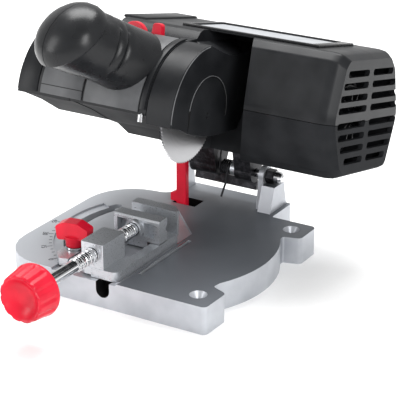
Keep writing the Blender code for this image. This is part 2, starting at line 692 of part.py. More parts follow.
def build_blade():
    teeth = 90
    outline = []
    for i in range(teeth):
        outline.append(polar(ARBOR, BLADE_RADIUS - 0.8, 360.0 * i / teeth))
        outline.append(polar(ARBOR, BLADE_RADIUS, 360.0 * (i + 0.25) / teeth))
    blade = prism("blade", outline, "X", BLADE_X - BLADE_THICK / 2, BLADE_X + BLADE_THICK / 2)
    cut(blade, cylinder("blade_bore", (BLADE_X - 4.0, *ARBOR), (1, 0, 0), 4.1, 8.0, 24))
    return complete_head(blade, "saw_blade", "blade_steel", arbor_point())


def drive_part(name, x, centre, profile, material_name, bore=None, segments=24):
    part = turned(name, (x, *centre), (1, 0, 0), profile, segments, bore)
    pivot = head_point(x, *centre)
    return complete_head(part, name, material_name, pivot)


def build_arbor():
    half = BLADE_THICK / 2
    shaft = [(-59.0, 2.6), (9.2, 2.6), (9.2, 3.8), (BLADE_X + half + 0.2, 3.8),
             (BLADE_X + half + 0.2, 2.2), (19.4, 2.2)]
    drive_part("arbor_shaft", 0.0, ARBOR, shaft, "chrome_steel")
    drive_part("inner_flange", BLADE_X - half - GAP - 1.8, ARBOR,
               [(0.0, 7.2), (1.0, 8.0), (1.8, 8.0)], "chrome_steel", 4.1)
    drive_part("outer_flange", BLADE_X + half + GAP, ARBOR,
               [(0.0, 8.0), (1.0, 8.0), (1.8, 7.2)], "chrome_steel", 2.5)
    nut = prism("nut", [polar(ARBOR, 4.2, 60.0 * i) for i in range(6)], "X",
                BLADE_X + half + GAP + 2.1, BLADE_X + half + GAP + 5.0)
    cut(nut, cylinder("bore", (0.0, *ARBOR), (1, 0, 0), 2.5, 40.0, 24))
    complete_head(nut, "blade_nut", "dark_steel", arbor_point())


def build_bearings():
    for name, x, centre, inner, outer in (
            ("arbor_bearing_right", 1.6, ARBOR, 2.9, 8.0),
            ("arbor_bearing_left", -40.0, ARBOR, 2.9, 8.0),
            ("motor_bearing_left", -39.0, MOTOR, 2.3, 6.5),
            ("motor_bearing_right", 80.8, MOTOR, 1.8, 5.0)):
        drive_part(name, x, centre, [(0.0, outer), (4.6, outer)], "chrome_steel", inner, 24)


def toothed_pulley(name, centre, radius, teeth, bore):
    outline = []
    for i in range(teeth):
        for share, reach in ((0.0, radius - 0.5), (0.12, radius), (0.5, radius),
                             (0.62, radius - 0.5)):
            outline.append(polar(centre, reach, 360.0 * (i + share) / teeth))
    pulley = prism(name, outline, "X", BELT_X - 2.6, BELT_X + 2.6)
    join(pulley, cylinder("lip", (BELT_X + 2.2, *centre), (1, 0, 0), radius + 1.4, 1.2),
         cylinder("lip", (BELT_X - 3.4, *centre), (1, 0, 0), radius + 1.4, 1.2, 24))
    cut(pulley, cylinder("bore", (BELT_X - 10.0, *centre), (1, 0, 0), bore, 20.0, 24))
    return pulley


def build_pulleys():
    complete_head(toothed_pulley("small", ARBOR, ARBOR_PULLEY_RADIUS, 12, 2.9),
                  "arbor_pulley", "brass", arbor_point())
    complete_head(toothed_pulley("large", MOTOR, MOTOR_PULLEY_RADIUS, 24, 2.3),
                  "motor_pulley", "black_plastic", motor_point())


def belt_loop(extra):
    """Outline round both pulleys, extra outside their working radius."""
    big = MOTOR_PULLEY_RADIUS + extra
    small = ARBOR_PULLEY_RADIUS + extra
    across = ARBOR[0] - MOTOR[0]
    rise = ARBOR[1] - MOTOR[1]
    lean = math.degrees(math.atan2(rise, across))
    wrap = math.degrees(math.acos((big - small) / math.hypot(across, rise)))
    return (arc(MOTOR, big, lean + wrap, lean + 360.0 - wrap, 20)
            + arc(ARBOR, small, lean - wrap, lean + wrap, 10))


def build_belt():
    belt = prism("belt", belt_loop(1.5), "X", BELT_X - 1.9, BELT_X + 1.9)
    cut(belt, prism("belt_inside", belt_loop(0.3), "X", BELT_X - 6.0, BELT_X + 6.0))
    return complete_head(belt, "drive_belt", "belt_rubber")


def build_motor():
    drive_part("motor_shaft", 0.0, MOTOR,
               [(-58.0, 2.0), (36.5, 2.0), (36.5, 1.5), (85.2, 1.5)], "chrome_steel")
    slots = 12
    outline = []
    for i in range(slots):
        for share, reach in ((0.0, 14.0), (0.62, 14.0), (0.66, 9.0), (0.96, 9.0)):
            outline.append(polar(MOTOR, reach, 360.0 * (i + share) / slots))
    core = prism("core", outline, "X", 42.0, 60.0)
    cut(core, cylinder("bore", (20.0, *MOTOR), (1, 0, 0), 1.8, 60.0, 20))
    complete_head(core, "armature_core", "dark_steel", motor_point())
    drive_part("armature_winding_left", 37.2, MOTOR, [(0.0, 9.5), (1.6, 12.0), (4.4, 12.4)],
               "copper", 2.4)
    drive_part("armature_winding_right", 60.4, MOTOR, [(0.0, 12.4), (2.8, 12.0), (4.4, 9.5)],
               "copper", 2.4)
    drive_part("commutator", 65.4, MOTOR, [(0.0, 6.4), (0.8, 6.4), (0.8, 5.6), (8.0, 5.6)],
               "copper", 1.8)
    blades = []
    fan = cylinder("fan_disc", (75.0, *MOTOR), (1, 0, 0), 15.0, 1.2, 32)
    for i in range(10):
        blade = prism("fan_blade", [(2.5, 74.0), (14.2, 74.0), (14.2, 79.6), (2.5, 79.6)],
                      "Z", -0.5, 0.5)
        blade.data.transform(Matrix(((0, 1, 0, 0), (1, 0, 0, 0), (0, 0, 1, 0), (0, 0, 0, 1))))
        turn = Matrix.Rotation(math.radians(36.0 * i), 4, "X")
        blade.data.transform(Matrix.Translation((0.0, *MOTOR)) @ turn)
        blades.append(blade)
    hub = cylinder("fan_hub", (74.4, *MOTOR), (1, 0, 0), 4.0, 5.6, 24)
    join(fan, hub, *blades)
    cut(fan, cylinder("bore", (60.0, *MOTOR), (1, 0, 0), 1.8, 40.0, 20))
    complete_head(fan, "cooling_fan", "black_plastic", motor_point())
    can = cylinder("can", (35.4, *MOTOR), (1, 0, 0), 20.0, 37.6, 32)
    cut(can, cylinder("can_bore", (36.8, *MOTOR), (1, 0, 0), 18.2, 60.0, 32),
        cylinder("can_nose", (30.0, *MOTOR), (1, 0, 0), 6.6, 20.0, 20))
    complete_head(can, "motor_can", "dark_steel")
    for name, side in (("magnet_upper", 90.0), ("magnet_lower", 270.0)):
        outline = (arc(MOTOR, 17.8, side - 62.0, side + 62.0, 14)
                   + arc(MOTOR, 14.8, side + 62.0, side - 62.0, 14))
        complete_head(prism(name, outline, "X", 38.0, 63.0), name, "carbon")
    for name, side in (("brush_front", -1.0), ("brush_rear", 1.0)):
        near, far = sorted((MOTOR[0] + side * 6.0, MOTOR[0] + side * 14.5))
        complete_head(box(name, 67.4, 71.8, near, far, MOTOR[1] - 2.0, MOTOR[1] + 2.0),
                      name, "carbon")


# ---------------------------------------------------------------- grip and switch

def grip_ring(centre, axis, radius, groove=0.0, count=32):
    """One ring of the grip; groove presses the finger side inwards."""
    across = Vector((0.0, 0.0, 1.0)).cross(axis).normalized()
    upward = axis.cross(across)
    ring = []
    for i in range(count):
        turn = 2.0 * math.pi * i / count
        pressed = max(0.0, math.cos(turn - math.radians(12.0))) ** 2
        reach = radius - groove * pressed
        ring.append(centre + reach * (across * math.cos(turn) + upward * math.sin(turn)))
    return ring


def grip_rings(shrink):
    neck = [(-7.0, 16.4, 0.0), (0.0, GRIP_RADIUS, 0.0), (8.0, 15.8, 0.0), (10.4, 15.8, 0.0),
            (12.0, 15.8, 1.3), (13.6, 15.8, 0.0), (15.6, 15.8, 0.0), (17.2, 15.8, 1.3),
            (18.8, 15.8, 0.0)]
    rings = [grip_ring(GRIP_ROOT + (along - (5.0 if shrink and along < 0.0 else 0.0))
                       * GRIP_AXIS, GRIP_AXIS, radius - shrink, 0.0 if shrink else groove)
             for along, radius, groove in neck]
    middle = (GRIP_AXIS + KNOB_AXIS).normalized()
    rings.append(grip_ring(GRIP_ROOT + 23.0 * GRIP_AXIS + Vector((-1.2, 0.0, -0.2)), middle,
                           16.6 - shrink))
    rings.append(grip_ring(KNOB_CENTRE - 0.9 * KNOB_AXIS, KNOB_AXIS, KNOB_RADIUS - 0.9 - shrink))
    for step in range(0, 7):
        angle = math.radians(step * 14.5)
        centre = KNOB_CENTRE + KNOB_AXIS * ((KNOB_HEIGHT - shrink) * math.sin(angle))
        rings.append(grip_ring(centre, KNOB_AXIS, (KNOB_RADIUS - shrink) * math.cos(angle)))
    return rings


def grip_frame():
    across = Vector((0.0, 0.0, 1.0)).cross(GRIP_AXIS).normalized()
    upward = GRIP_AXIS.cross(across)
    turn = Matrix((across, upward, GRIP_AXIS)).transposed().to_4x4()
    return Matrix.Translation(GRIP_ROOT - 1.2 * across) @ turn


def grip_half(name, side):
    shell = loft("outer", grip_rings(0.0))
    cut(shell, loft("inner", grip_rings(2.4)))
    half = box("half", *sorted((side * GAP / 2, side * 40.0)), -60.0, 60.0, -40.0, 70.0)
    half.data.transform(grip_frame())
    keep(shell, half)
    cut(shell, cylinder("nose", (-70.0, *ARBOR), (1, 0, 0), FRONT_RADIUS + GAP, 140.0, 72))
    cut(shell, box("deck_clear", -60.0, 60.0, -74.5, 0.0, 0.0, 120.0))
    cut(shell, box("guard_clear", GUARD_LEFT - GAP, 60.0, -130.0, 0.0, 0.0, 120.0))
    return complete_head(shell, name, "gloss_black_plastic")


def build_grip():
    grip_half("grip_left", -1.0)
    grip_half("grip_right", 1.0)


def build_switch():
    body = box("switch", -6.0, 6.0, -7.5, 5.0, 2.0, 18.0)
    body.data.transform(grip_frame())
    complete_head(body, "switch_body", "carbon")
    slider = rounded([(-10.8, 66.4, 0.8), (-4.2, 66.4, 0.8), (-4.9, 75.2, 1.6),
                      (-10.0, 75.2, 1.6)], 3)
    knob = prism("slider", slider, "Y", -72.0, -69.0)
    complete_head(knob, "switch_slider", "red_plastic", head_point(-7.5, -70.5, 70.0))
    crescent = arc((-20.0, 67.6), 6.9, -12.0, 192.0, 12)
    trigger = prism("trigger", crescent, "Y", -72.6, -69.4)
    complete_head(trigger, "switch_trigger", "red_plastic", head_point(-20.0, -71.0, 67.0))


# ---------------------------------------------------------------- yoke, spring, screws

def build_yoke():
    left = cylinder("left_barrel", (-19.0, 0.0, 0.0), (1, 0, 0), 5.4, 16.0, 28)
    right = cylinder("right_barrel", (8.0, 0.0, 0.0), (1, 0, 0), 5.4, 10.0, 28)
    arm_outline = [(-5.3, 0.0), (5.3, 0.0), (9.0, 14.7), (-11.0, 14.7), (-9.5, 9.0)]
    arm_left = prism("arm_left", arm_outline, "X", -19.0, -3.0)
    arm_right = prism("arm_right", arm_outline, "X", 8.0, 18.0)
    bridge = box("bridge", -10.0, 12.0, -8.0, 7.5, 9.6, 14.7)
    band = box("band", -19.0, 18.0, 2.6, 5.0, -9.6, -4.6)
    join(left, right, arm_left, arm_right, bridge, band)
    cut(left, cylinder("pin_bore", (-30.0, 0.0, 0.0), (1, 0, 0), PIN_RADIUS + GAP, 60.0, 24))
    return complete_head(left, "head_yoke", "dark_steel")


def spring_path(turns, steps, mean, start_x, length):
    """Centre line: a leg down from the bridge, the coils, and a leg down to the base."""
    total = turns * steps
    path = [Vector((start_x, -mean, 9.0)), Vector((start_x, -mean, 3.0))]
    for i in range(total + 1):
        angle = math.pi + 2.0 * math.pi * i / steps
        path.append(Vector((start_x + length * i / total, mean * math.cos(angle),
                            mean * math.sin(angle))))
    return path + [Vector((start_x + length, -mean - 1.0, -8.0)),
                   Vector((start_x + length, -mean - 4.0, -14.8))]


def build_spring():
    wire = 0.55
    path = spring_path(4, 14, 3.6, -1.7, 5.2)
    rings = []
    for i, centre in enumerate(path):
        ahead = path[min(i + 1, len(path) - 1)]
        behind = path[max(i - 1, 0)]
        tangent = (ahead - behind).normalized()
        side = Vector((1.0, 0.0, 0.0)).cross(tangent).normalized()
        up = tangent.cross(side)
        rings.append([centre + wire * (side * math.cos(math.pi * k / 3)
                                       + up * math.sin(math.pi * k / 3)) for k in range(6)])
    return complete_head(loft("spring", rings), "torsion_spring", "dark_steel")


def build_sleeve():
    sleeve = cylinder("sleeve", (4.4, 0.0, 0.0), (1, 0, 0), 3.6, 3.2, 28, PIN_RADIUS + GAP)
    return complete_head(sleeve, "hinge_sleeve", "bright_aluminium")


def build_screws():
    for name, (x, u) in CASING_SCREWS.items():
        screw = turned("screw", (x, u, 15.7), (0, 0, 1), [(0.0, 2.6), (0.4, 3.0), (1.5, 3.0)], 20)
        complete_head(screw, name, "dark_steel")


def main():
    clear_scene()
    build_base()
    build_hinge_pin()
    build_hinge_nut()
    build_travel_stop()
    build_vise_bed()
    build_sliding_jaw()
    build_vise_screw()
    build_handwheel()
    build_pivot_bolt()
    build_clamp_stud()
    build_clamp_washer()
    build_clamp_knob()
    build_upper_casing()
    build_lower_casing()
    build_label_plate()
    build_guard()
    build_blade()
    build_arbor()
    build_bearings()
    build_pulleys()
    build_belt()
    build_motor()
    build_grip()
    build_switch()
    build_yoke()
    build_spring()
    build_sleeve()
    build_screws()


main()
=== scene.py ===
"""Visual model of a miniature bench cut-off saw, built round its CAD frame."""
import json
import math

import bpy
from mathutils import Matrix, Vector

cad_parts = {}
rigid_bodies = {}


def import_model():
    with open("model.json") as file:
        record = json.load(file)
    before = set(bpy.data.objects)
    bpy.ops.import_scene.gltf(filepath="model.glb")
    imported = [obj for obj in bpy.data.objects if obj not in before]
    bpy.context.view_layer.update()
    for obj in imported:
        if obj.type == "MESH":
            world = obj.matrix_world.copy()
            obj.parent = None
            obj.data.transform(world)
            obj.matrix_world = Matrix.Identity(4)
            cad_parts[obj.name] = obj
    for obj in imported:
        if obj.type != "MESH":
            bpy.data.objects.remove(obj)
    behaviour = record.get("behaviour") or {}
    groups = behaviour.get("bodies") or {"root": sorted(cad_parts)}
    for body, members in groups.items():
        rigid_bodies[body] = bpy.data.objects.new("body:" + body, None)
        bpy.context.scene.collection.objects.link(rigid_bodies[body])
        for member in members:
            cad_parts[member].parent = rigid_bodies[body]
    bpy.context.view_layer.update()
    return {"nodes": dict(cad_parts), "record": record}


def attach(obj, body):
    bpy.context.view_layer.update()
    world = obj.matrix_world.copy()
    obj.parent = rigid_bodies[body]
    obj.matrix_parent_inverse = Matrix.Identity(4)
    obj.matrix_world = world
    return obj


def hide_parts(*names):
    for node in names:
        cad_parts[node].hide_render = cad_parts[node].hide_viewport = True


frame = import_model()

MM = 0.001

# The saw head is level in its own axes (x, back, up) about the hinge and raised from there
HINGE = Vector((0.0, 56.0, 31.0))
HEAD_RISE = math.radians(13.0)
ARBOR = (-70.3, 35.9)
NOSE_RADIUS = 34.0
PANEL_ROOT = 0.4
PANEL_PROUD = 0.45
PIN_PROFILE = ((0.0, 1.3), (3.4, 1.3), (3.9, 0.8))
PIN_FOOT = (8.8, ARBOR[0] - NOSE_RADIUS - 0.4, ARBOR[1] - 3.4)
GUARD_FACE = 24.5
ARROW_CENTRE = (ARBOR[0], ARBOR[1] + 1.5)
ARROW_RADIUS = 17.0
ARROW_SWEEP = (-8.0, 176.0)
RIM_SWEEP = (98.0, 184.0)
SADDLE_PLACE = (17.4, -48.0, 65.6)
SADDLE_SLOPE = math.radians(22.0)

# Pieces on the deck: left, right, front and back edges
DECK = 74.5
LABEL_EDGES = (-1.4, 64.5, -49.8, -18.2)
BEZEL_EDGES = (-4.6, 69.7, -53.1, -14.9)
BEZEL_WINDOW = (-1.8, 64.9, -50.2, -17.8)
STEP_EDGES = (-37.0, -24.0, -56.0, -6.0)

# Screws that close the casing from below: x and back; each slot is turned on from the last
CASING_SCREWS = ((74.0, -46.0), (74.0, -8.0), (32.0, -8.0))
SCREW_HEAD_LEVEL = 15.6
SLOT_TURN = 0.6

# Table: limits in X, Y and Z of the hollows whose inner walls get painted shade
TABLE_TOP = 14.0
FRONT_NOTCH = ((-1.4, 7.0), (-63.7, -55.0), (4.5, 13.2))
STOP_WINDOW = ((-20.4, -6.1), (34.6, 44.9), (0.3, 13.5))

# Swivel scale about the vise's pivot, in degrees
PIVOT = Vector((2.0, -6.0, 0.0))
SCALE_RADIUS = 56.0
SCALE_ZERO = 236.0
TICK_COUNT = 13
TICK_STEP = 3.75
TICKS_PER_NUMERAL = 4
LONG_TICK = 2.6
SHORT_TICK = 1.5
NUMERAL_SIZE = 3.8
NUMERAL_DEPTH = 0.06

# Vise screw
SCREW_AXIS = Vector((-4.7, 0.0, 24.5))
THREAD = (-75.5, -27.5)
THREAD_PITCH = 1.5
THREAD_RADIUS = 3.28
THREAD_BAR = 0.36
POINTS_PER_TURN = 20

# Stage, in metres
FLOOR_SIZE = 6.0
WORLD_STRENGTH = 0.7
CAMERA_PLACE = (0.385, -0.6136, 0.331)
CAMERA_TURN = (math.radians(67.2), 0.0, math.radians(30.9))
CAMERA_LENS = 135.75

HEAD_PLACE = Matrix.Translation(HINGE) @ Matrix.Rotation(-HEAD_RISE, 4, "X")
TO_METRES = Matrix.Scale(MM, 4)


# ---------------------------------------------------------------- materials

def linear(code):
    """sRGB hex to a linear colour."""
    channels = [int(code[i:i + 2], 16) / 255.0 for i in (1, 3, 5)]
    return tuple(c / 12.92 if c <= 0.04045 else ((c + 0.055) / 1.055) ** 2.4
                 for c in channels) + (1.0,)


def add(tree, kind, settings=None, **sockets):
    """Add a node; settings are its properties, sockets its input values or links."""
    node = tree.nodes.new(kind)
    for key, value in (settings or {}).items():
        setattr(node, key, value)
    for key, value in sockets.items():
        place = int(key[1:]) if key[0] == "i" and key[1:].isdigit() else key.replace("_", " ")
        if isinstance(value, bpy.types.NodeSocket):
            tree.links.new(value, node.inputs[place])
        else:
            node.inputs[place].default_value = value
    return node


def start_material(name, colour, roughness, metallic):
    """A material with its tree, its shader and the coordinates its patterns are laid in."""
    made = bpy.data.materials.new(name)
    made.use_nodes = True
    tree = made.node_tree
    shader = tree.nodes["Principled BSDF"]
    shader.inputs["Base Color"].default_value = linear(colour)
    shader.inputs["Roughness"].default_value = roughness
    shader.inputs["Metallic"].default_value = metallic
    where = add(tree, "ShaderNodeTexCoord").outputs["Object"]
    return made, tree, shader, where


def ramp(tree, value, low, high, start=0.3, stop=0.7):
    """Map a pattern, as it goes from start to stop, from low to high."""
    return add(tree, "ShaderNodeMapRange", Value=value, From_Min=start, From_Max=stop,
               To_Min=low, To_Max=high).outputs["Result"]


def tint(tree, factor, first, second):
    """Mix two colours by a pattern."""
    mix = add(tree, "ShaderNodeMix", {"data_type": "RGBA"})
    tree.links.new(factor, mix.inputs["Factor"])
    mix.inputs["A"].default_value = linear(first)
    mix.inputs["B"].default_value = linear(second)
    return mix.outputs["Result"]


def grain(tree, where, size_mm, detail=3.0, rough=0.6):
    """Noise whose cells are size_mm across."""
    return add(tree, "ShaderNodeTexNoise", Vector=where, Scale=1.0 / (size_mm * MM),
               Detail=detail, Roughness=rough).outputs["Fac"]


def bumped(tree, shader, height, strength, depth_mm):
    """Roughen a shader's surface by a pattern."""
    bump = add(tree, "ShaderNodeBump", Height=height, Strength=strength,
               Distance=depth_mm * MM)
    tree.links.new(bump.outputs["Normal"], shader.inputs["Normal"])


def moulded_abs(name, light, dark, roughness, texture_mm, depth_mm, sheen=0.26):
    """Injection-moulded ABS: spark-eroded grain, slightly uneven sheen."""
    made, tree, shader, where = start_material(name, dark, roughness, 0.0)
    fine = grain(tree, where, texture_mm, 4.0, 0.7)
    broad = grain(tree, where, 14.0, 2.0, 0.5)
    shader.inputs["Specular IOR Level"].default_value = sheen
    tree.links.new(tint(tree, ramp(tree, broad, 0.0, 1.0, 0.35, 0.65), dark, light),
                   shader.inputs["Base Color"])
    tree.links.new(ramp(tree, broad, roughness - 0.05, roughness + 0.06),
                   shader.inputs["Roughness"])
    bumped(tree, shader, fine, 0.5, depth_mm)
    return made


def cast_aluminium():
    """Die-cast aluminium, tumbled and lacquered: pale, fine sand grain, soft sheen."""
    made, tree, shader, where = start_material("die_cast_aluminium", "#c9ccd1", 0.38, 0.55)
    sand = grain(tree, where, 0.45, 5.0, 0.75)
    cloud = grain(tree, where, 18.0, 3.0, 0.55)
    colour = tint(tree, ramp(tree, cloud, 0.0, 1.0), "#a6a9af", "#bdc0c5")
    tree.links.new(colour, shader.inputs["Base Color"])
    tree.links.new(ramp(tree, cloud, 0.34, 0.46), shader.inputs["Roughness"])
    bumped(tree, shader, sand, 0.35, 0.06)
    return made


def painted_table():
    """Grey stoved paint on the table's top, with a painted reflection paler towards the swivel
    scale.
    """
    made, tree, shader, where = start_material("grey_stove_paint", "#6f7379", 0.4, 0.35)
    sand = grain(tree, where, 0.5, 4.0, 0.7)
    cloud = grain(tree, where, 25.0, 2.0, 0.5)
    across = add(tree, "ShaderNodeSeparateXYZ", Vector=where).outputs["X"]
    # Painted reflection: pale at the left by the swivel scale, fading to darker grey at the right
    painted_reflection_fade = ramp(tree, across, 1.0, 0.0, -34.0 * MM, 8.0 * MM)
    tree.links.new(tint(tree, painted_reflection_fade, "#6a6e74", "#a9acb1"), shader.inputs["Base Color"])
    tree.links.new(ramp(tree, cloud, 0.34, 0.46), shader.inputs["Roughness"])
    bumped(tree, shader, sand, 0.3, 0.05)
    return made


def milled_aluminium():
    """Milled and tumbled aluminium: bright, with faint cutter lines across."""
    made, tree, shader, where = start_material("milled_aluminium", "#b9bcc1", 0.34, 0.75)
    stretch = add(tree, "ShaderNodeMapping", Vector=where, Scale=(1.0, 6.0, 1.0))
    lines = grain(tree, stretch.outputs["Vector"], 1.2, 4.0, 0.7)
    colour = tint(tree, ramp(tree, lines, 0.0, 1.0), "#b2b5ba", "#c2c5c9")
    tree.links.new(colour, shader.inputs["Base Color"])
    tree.links.new(ramp(tree, lines, 0.24, 0.4), shader.inputs["Roughness"])
    bumped(tree, shader, lines, 0.06, 0.01)
    return made


def bright_steel():
    """Ground and nickel-plated steel: mirror-like with faint handling haze."""
    made, tree, shader, where = start_material("nickel_plated_steel", "#d5d6d8", 0.14, 1.0)
    haze = grain(tree, where, 3.0, 3.0, 0.6)
    tree.links.new(ramp(tree, haze, 0.1, 0.22), shader.inputs["Roughness"])
    bumped(tree, shader, grain(tree, where, 0.3), 0.12, 0.02)
    return made


def black_oxide_steel():
    """Black-oxide steel: oily dark finish, rubbed a little paler in patches."""
    made, tree, shader, where = start_material("black_oxide_steel", "#2b2b2e", 0.42, 0.8)
    patch = grain(tree, where, 2.5, 4.0, 0.65)
    colour = tint(tree, ramp(tree, patch, 0.0, 1.0, 0.45, 0.75), "#242427", "#4a4a4e")
    tree.links.new(colour, shader.inputs["Base Color"])
    tree.links.new(ramp(tree, patch, 0.34, 0.52), shader.inputs["Roughness"])
    bumped(tree, shader, patch, 0.2, 0.04)
    return made


def blade_steel():
    """High-speed steel disc ground in rings about its bore."""
    made, tree, shader, where = start_material("ground_blade_steel", "#bcbcbc", 0.3, 1.0)
    centre = HEAD_PLACE @ Vector((0.0, *ARBOR)) * MM
    centred = add(tree, "ShaderNodeMapping", Vector=where,
                  Location=(0.0, -centre.y, -centre.z), Scale=(0.0, 1.0, 1.0))
    away = add(tree, "ShaderNodeVectorMath", {"operation": "LENGTH"})
    tree.links.new(centred.outputs["Vector"], away.inputs[0])
    rings_per_metre = 900.0
    rings = add(tree, "ShaderNodeTexNoise", {"noise_dimensions": "1D"}, Scale=rings_per_metre,
                Detail=3.0, W=away.outputs["Value"]).outputs["Fac"]
    tree.links.new(tint(tree, rings, "#9c9c9e", "#a9a9ab"), shader.inputs["Base Color"])
    tree.links.new(ramp(tree, rings, 0.28, 0.36), shader.inputs["Roughness"])
    bumped(tree, shader, rings, 0.05, 0.02)
    return made


def label_film():
    """Pale plain polyester label."""
    made, tree, shader, where = start_material("polyester_label", "#a5a8ac", 0.5, 0.0)
    soft = grain(tree, where, 9.0, 2.0, 0.5)
    tree.links.new(tint(tree, soft, "#8d9094", "#b3b5b8"), shader.inputs["Base Color"])
    bumped(tree, shader, grain(tree, where, 0.4), 0.1, 0.02)
    return made


def belt_rubber():
    """Neoprene belt: matt black with a fine cord pattern."""
    made, tree, shader, where = start_material("neoprene", "#1a1a1a", 0.8, 0.0)
    weave = grain(tree, where, 0.4, 4.0, 0.8)
    tree.links.new(tint(tree, weave, "#141414", "#262626"), shader.inputs["Base Color"])
    bumped(tree, shader, weave, 0.4, 0.08)
    return made


def wound_metal(name, dark, light, roughness):
    """Drawn copper or brass, streaked by handling."""
    made, tree, shader, where = start_material(name, light, roughness, 1.0)
    streak = grain(tree, where, 0.8, 4.0, 0.7)
    tree.links.new(tint(tree, streak, dark, light), shader.inputs["Base Color"])
    bumped(tree, shader, streak, 0.3, 0.05)
    return made


def engraved_ink():
    """Dark filler in the engraved scale."""
    made, tree, shader, where = start_material("scale_ink", "#4b4e53", 0.6, 0.0)
    speck = grain(tree, where, 0.5)
    tree.links.new(tint(tree, speck, "#2a2c30", "#3b3d41"), shader.inputs["Base Color"])
    return made


def stage_paper():
    """White backdrop paper."""
    made, tree, shader, where = start_material("backdrop_paper", "#fbfbfb", 0.85, 0.0)
    fibre = grain(tree, where, 2.0)
    tree.links.new(tint(tree, fibre, "#fafafa", "#ffffff"), shader.inputs["Base Color"])
    return made


# Moulded plastics: light and dark shade, roughness, grain size and depth in mm, sheen
SATIN = moulded_abs("satin_black_abs", "#222325", "#191a1c", 0.36, 0.5, 0.02, 0.16)
DULL = moulded_abs("dull_black_abs", "#27282a", "#1d1e20", 0.6, 0.5, 0.02, 0.04)
# Grained black plastic of the nose panels, painted mid-grey as a painted reflection of the front
# light
GRAINED_PAINTED_REFLECTION = moulded_abs("grained_abs_painted_reflection", "#5a5b5d", "#464749", 0.4, 0.7, 0.12)
SMOOTH = moulded_abs("smooth_black_abs", "#1b1c1e", "#131416", 0.27, 0.35, 0.01)
# Light grey painted highlight for the lines beside the guard's arrow and along its rim
PAINTED_HIGHLIGHT = moulded_abs("painted_highlight_abs", "#77787a", "#5c5d5f", 0.4, 0.5, 0.03)
RED = moulded_abs("red_abs", "#d91a34", "#bd0f28", 0.34, 0.6, 0.02)
# Near-black painted shade for the arrow's groove, screw slots, the nose lip and the walls of
# hollows
PAINTED_SHADE = moulded_abs("shadow_black_abs", "#0c0c0d", "#070708", 0.6, 0.6, 0.03)
CASTING = cast_aluminium()
PAINT = painted_table()
MILLED = milled_aluminium()
BRIGHT = bright_steel()
BLACK_STEEL = black_oxide_steel()
BLADE = blade_steel()
LABEL = label_film()
RUBBER = belt_rubber()
COPPER = wound_metal("drawn_copper", "#8a4a2a", "#c47a4c", 0.35)
BRASS = wound_metal("turned_brass", "#8c7436", "#c9ad62", 0.3)
FERRITE = moulded_abs("ferrite", "#2c2d2f", "#222325", 0.7, 0.5, 0.1)
INK = engraved_ink()
PAPER = stage_paper()

CAD_FINISH = {
    "cast_aluminium": CASTING, "bright_aluminium": MILLED, "chrome_steel": BRIGHT,
    "dark_steel": BLACK_STEEL, "blade_steel": BLADE, "black_plastic": SATIN,
    "gloss_black_plastic": SMOOTH, "red_plastic": RED, "label_film": LABEL,
    "belt_rubber": RUBBER, "copper": COPPER, "brass": BRASS, "carbon": FERRITE,
}


def finish_cad_nodes():
    """Give every CAD node the real finish of its record slot."""
    slots = {part["node"]: part["material_slot"] for part in frame["record"]["subparts"]}
    for name, item in frame["nodes"].items():
        item.data.materials.clear()
        item.data.materials.append(CAD_FINISH[slots[name]])


# ---------------------------------------------------------------- modelling helpers

def deselect():
    """Leave edit mode with nothing selected."""
    if bpy.context.mode != "OBJECT":
        bpy.ops.object.mode_set(mode="OBJECT")
    bpy.ops.object.select_all(action="DESELECT")


def activate(item):
    """Make a piece the only selected one."""
    deselect()
    item.select_set(True)
    bpy.context.view_layer.objects.active = item
    return item


def apply_modifier(item, kind, **settings):
    activate(item)
    step = item.modifiers.new(kind.title(), kind)
    for key, value in settings.items():
        setattr(step, key, value)
    bpy.ops.object.modifier_apply(modifier=step.name)
    return item


def settle(item, placement=None):
    """Put a piece drawn in millimetres in its place, in metres, with its object at the origin."""
    item.data.transform(item.matrix_world)
    item.matrix_world = Matrix.Identity(4)
    if placement is not None:
        item.data.transform(placement)
    item.data.transform(TO_METRES)
    return item


def dress(item, name, material, body, smooth=35.0):
    """Name a finished piece, shade it, give it its finish and let it ride on its body."""
    activate(item)
    bpy.ops.object.mode_set(mode="EDIT")
    bpy.ops.mesh.select_all(action="SELECT")
    bpy.ops.mesh.normals_make_consistent(inside=False)
    bpy.ops.object.mode_set(mode="OBJECT")
    bpy.ops.object.shade_smooth_by_angle(angle=math.radians(smooth))
    item.name = name
    item.data.name = name
    item.data.materials.clear()
    item.data.materials.append(material)
    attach(item, body)
    return item


def refined(node, bevel_mm, material, body, segments=2, smooth=35.0):
    """A softened copy of a CAD node: joined faces, and rounded edges where a bevel is given."""
    activate(frame["nodes"][node])
    bpy.ops.object.duplicate()
    item = bpy.context.view_layer.objects.active
    bpy.ops.object.parent_clear(type="CLEAR_KEEP_TRANSFORM")
    if item.data.has_custom_normals:
        bpy.ops.mesh.customdata_custom_splitnormals_clear()
    bpy.ops.object.mode_set(mode="EDIT")
    bpy.ops.mesh.select_all(action="SELECT")
    bpy.ops.mesh.remove_doubles(threshold=0.000005)
    bpy.ops.mesh.normals_make_consistent(inside=False)
    # Leaving edit mode between the two steps matters: faces join differently without it
    bpy.ops.object.mode_set(mode="OBJECT")
    activate(item)
    bpy.ops.object.mode_set(mode="EDIT")
    bpy.ops.mesh.select_all(action="SELECT")
    bpy.ops.mesh.dissolve_limited(angle_limit=math.radians(1.0))
    bpy.ops.object.mode_set(mode="OBJECT")
    if bevel_mm > 0.0:
        apply_modifier(item, "BEVEL", width=bevel_mm * MM, segments=segments,
                       limit_method="ANGLE", angle_limit=math.radians(32.0),
                       harden_normals=False, miter_outer="MITER_ARC")
    dress(item, node + "_finished", material, body, smooth)
    apply_modifier(item, "WEIGHTED_NORMAL", keep_sharp=True, weight=80)
    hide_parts(node)
    return item


